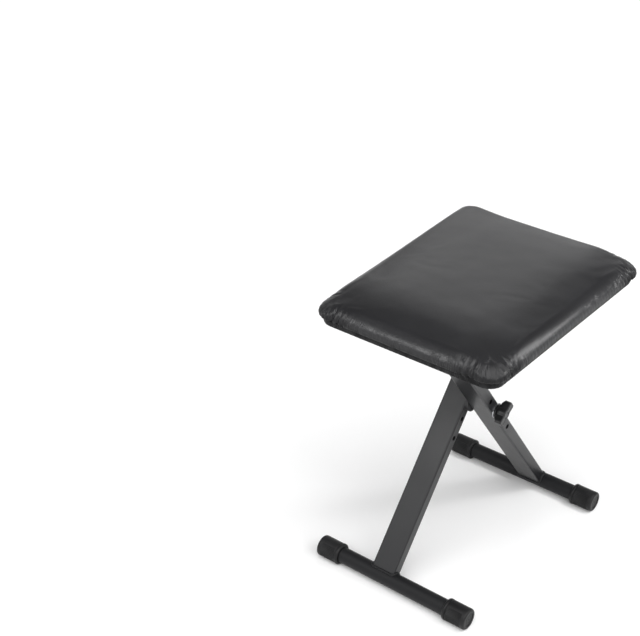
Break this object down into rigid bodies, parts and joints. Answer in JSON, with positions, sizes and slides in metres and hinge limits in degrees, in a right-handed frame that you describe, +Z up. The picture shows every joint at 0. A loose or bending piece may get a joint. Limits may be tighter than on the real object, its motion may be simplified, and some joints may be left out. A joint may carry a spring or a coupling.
{
  "type": "folding piano bench",
  "caption": "Padded rectangular seat on a folding X-shaped steel frame with round foot tubes in ribbed rubber caps and a wing knob at the leg pivot.",
  "frame": {"origin": "on the floor, under the middle of the seat", "axes": "+Z up, X along the foot tubes and the seat's short side, Y along the seat's long side; frame A's foot is at -Y"},
  "size_m": [0.308, 0.418, 0.474],
  "materials": {
    "leatherette": "semi-gloss black leatherette",
    "foam": "open-cell foam, matte",
    "plywood": "bare birch plywood",
    "dust_cloth": "black non-woven cloth",
    "black_steel": "satin black powder coat",
    "foot_steel": "satin black powder coat",
    "weld": "powder-coated weld bead",
    "zinc": "bright zinc plate",
    "nylon": "natural nylon",
    "disc_plastic": "black moulded plastic",
    "cap_rubber": "ribbed matte black rubber",
    "knob_plastic": "black moulded plastic",
    "staple_wire": "galvanised wire"
  },
  "bodies": {
    "seat": {"seat_cover": "leatherette", "seat_foam": "foam", "seat_board": "plywood", "dust_cover": "dust_cloth", "staples": "staple_wire", "left_rail": "black_steel", "right_rail": "black_steel", "rail_screws": "zinc", "tee_nuts": "zinc", "hinge_bolt": "zinc", "hinge_washers": "zinc", "hinge_nut": "zinc"},
    "leg_a": {"leg_a_tube": "black_steel", "leg_a_top_tube": "black_steel", "hinge_bushes": "nylon", "front_foot_tube": "foot_steel", "front_left_cap": "cap_rubber", "front_right_cap": "cap_rubber", "leg_a_welds": "weld", "leg_a_disc": "disc_plastic", "weld_nuts": "black_steel"},
    "leg_b": {"leg_b_tube": "black_steel", "leg_b_top_tube": "black_steel", "slide_rollers": "nylon", "slide_bolt": "zinc", "slide_washers": "zinc", "slide_nut": "zinc", "rear_foot_tube": "foot_steel", "rear_left_cap": "cap_rubber", "rear_right_cap": "cap_rubber", "leg_b_welds": "weld", "leg_b_disc": "disc_plastic"},
    "knob": {"knob_grip": "knob_plastic", "knob_bolt": "zinc", "knob_washer": "zinc"}
  },
  "joints": [
    {"name": "leg_fold", "type": "hinge", "parent": "seat", "child": "leg_a", "pos_m": [0, 0.12238, 0.409], "axis": [1, 0, 0], "range_deg": [0, 33.14]},
    {"name": "pivot_fold", "type": "hinge", "parent": "leg_a", "child": "leg_b", "pos_m": [0, 0, 0.252], "axis": [1, 0, 0], "range_deg": [-66.28, 0]},
    {"name": "knob_turn", "type": "hinge", "parent": "leg_a", "child": "knob", "pos_m": [0, 0, 0.252], "axis": [1, 0, 0], "range_deg": [0, 720]}
  ],
  "couplings": [
    {"joint": "pivot_fold", "follows": "leg_fold", "ratio": -2}
  ]
}
